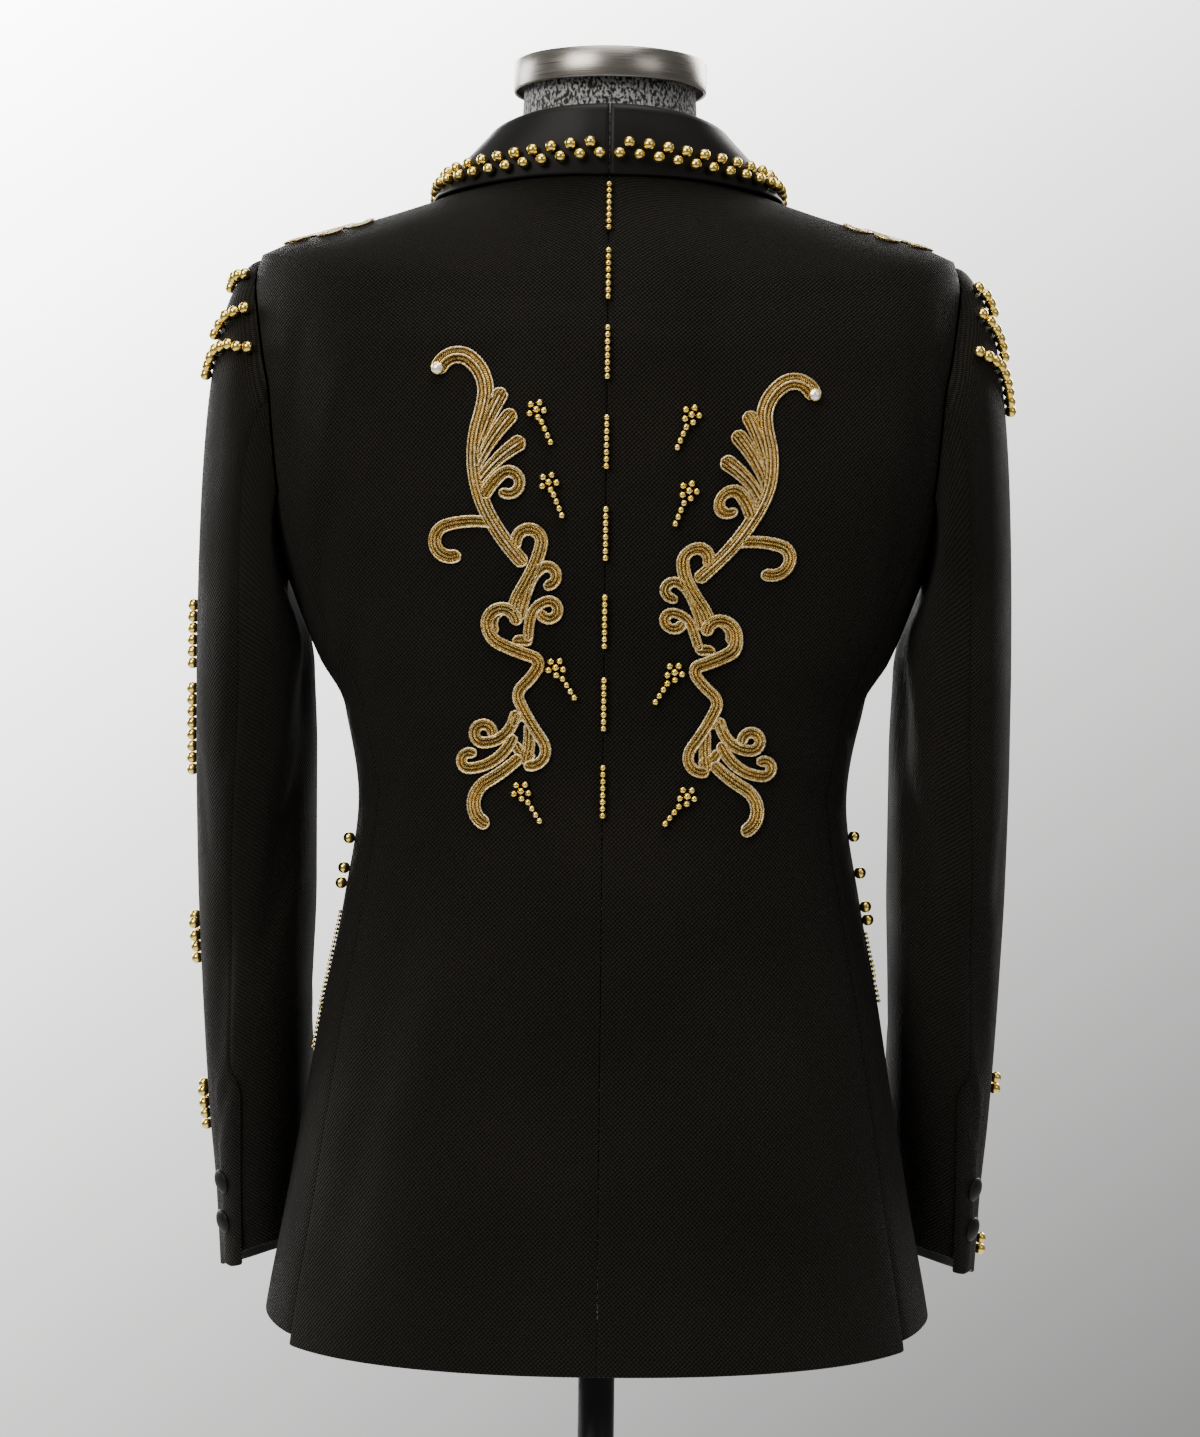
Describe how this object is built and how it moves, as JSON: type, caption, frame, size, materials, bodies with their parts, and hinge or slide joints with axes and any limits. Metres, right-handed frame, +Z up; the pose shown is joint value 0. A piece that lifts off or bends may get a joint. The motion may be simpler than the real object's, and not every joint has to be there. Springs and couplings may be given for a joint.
{
  "type": "tuxedo jacket on a dress form",
  "caption": "Slim black evening jacket with a beaded shawl collar and gold scroll ornaments on the back, worn by a limbless dress form on a pole and round base.",
  "frame": {"origin": "middle of the base's underside, on the pole's axis", "axes": "+Z up; the jacket's front faces -Y and its back +Y; the wearer's left is +X"},
  "size_m": [0.4941, 0.37, 1.4983],
  "materials": {
    "cloth": "matte textured wool",
    "satin": "satin",
    "gold_bead": "polished",
    "gold_thread": "metallic thread",
    "covered_button": "satin covered",
    "form_cover": "knit",
    "steel": "brushed",
    "black_metal": "satin black"
  },
  "bodies": {
    "root": {"back_left": "cloth", "side_left": "cloth", "front_left": "cloth", "top_sleeve_left": "cloth", "under_sleeve_left": "cloth", "shawl_left": "satin", "scroll_back_left": "gold_thread", "scroll_shoulder_left": "gold_thread", "cuff_button_left_upper": "covered_button", "cuff_button_left_lower": "covered_button", "back_right": "cloth", "side_right": "cloth", "front_right": "cloth", "top_sleeve_right": "cloth", "under_sleeve_right": "cloth", "shawl_right": "satin", "scroll_back_right": "gold_thread", "scroll_shoulder_right": "gold_thread", "cuff_button_right_upper": "covered_button", "cuff_button_right_lower": "covered_button", "front_button": "covered_button", "form_torso": "form_cover", "form_neck_cap": "steel", "form_pole": "black_metal", "form_base": "black_metal"}
  },
  "joints": []
}
